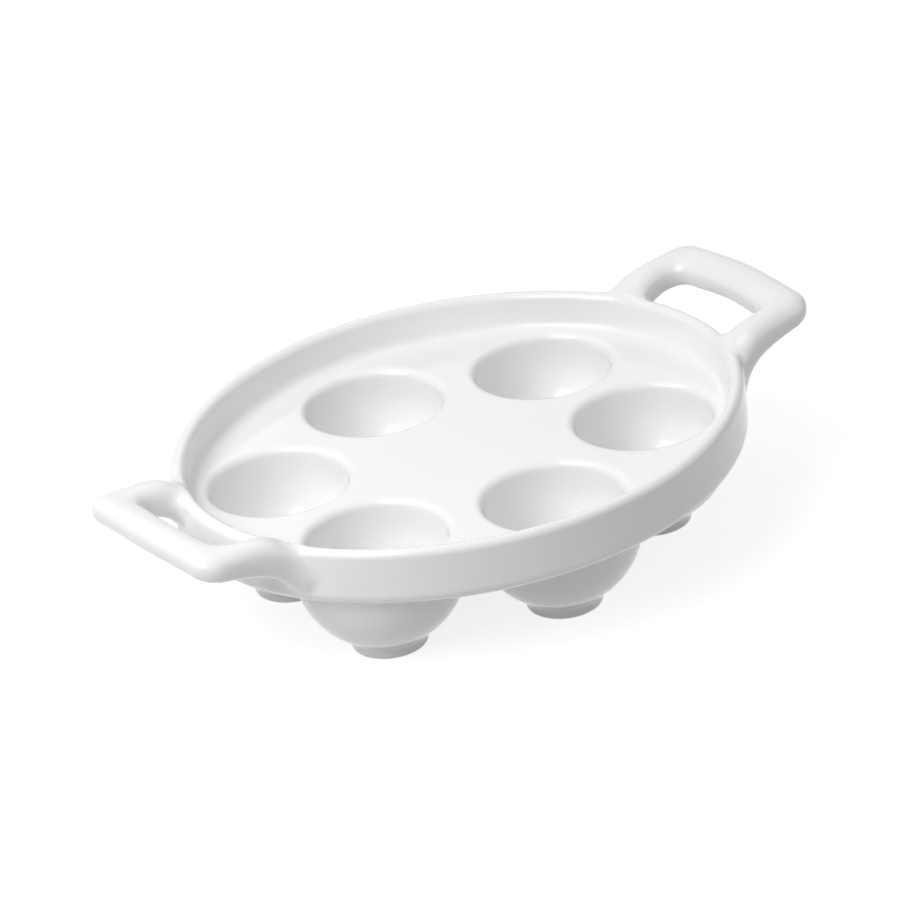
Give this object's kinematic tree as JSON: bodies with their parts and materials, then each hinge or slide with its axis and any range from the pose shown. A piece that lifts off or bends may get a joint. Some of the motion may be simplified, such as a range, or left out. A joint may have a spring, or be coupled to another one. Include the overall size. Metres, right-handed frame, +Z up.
{
  "type": "escargot plate",
  "caption": "Oval glazed porcelain escargot plate: a shallow rimmed tray with round wells for snails hanging below its floor on foot rings, and a loop handle at each end.",
  "frame": {"origin": "on the table under the middle of the plate", "axes": "+X through the two handles, +Y towards the back well, +Z up"},
  "size_m": [0.1812, 0.1266, 0.0433],
  "materials": {
    "glaze": "white glossy glaze, very slightly cool",
    "biscuit": "unglazed, fine matt"
  },
  "bodies": {
    "root": {"dish_floor": "glaze", "rim_wall": "glaze", "well_back": "glaze", "well_front": "glaze", "well_right_back": "glaze", "well_right_front": "glaze", "well_left_back": "glaze", "well_left_front": "glaze", "foot_back": "biscuit", "foot_front": "biscuit", "foot_right_back": "biscuit", "foot_right_front": "biscuit", "foot_left_back": "biscuit", "foot_left_front": "biscuit", "handle_right": "glaze", "handle_left": "glaze"}
  },
  "joints": []
}
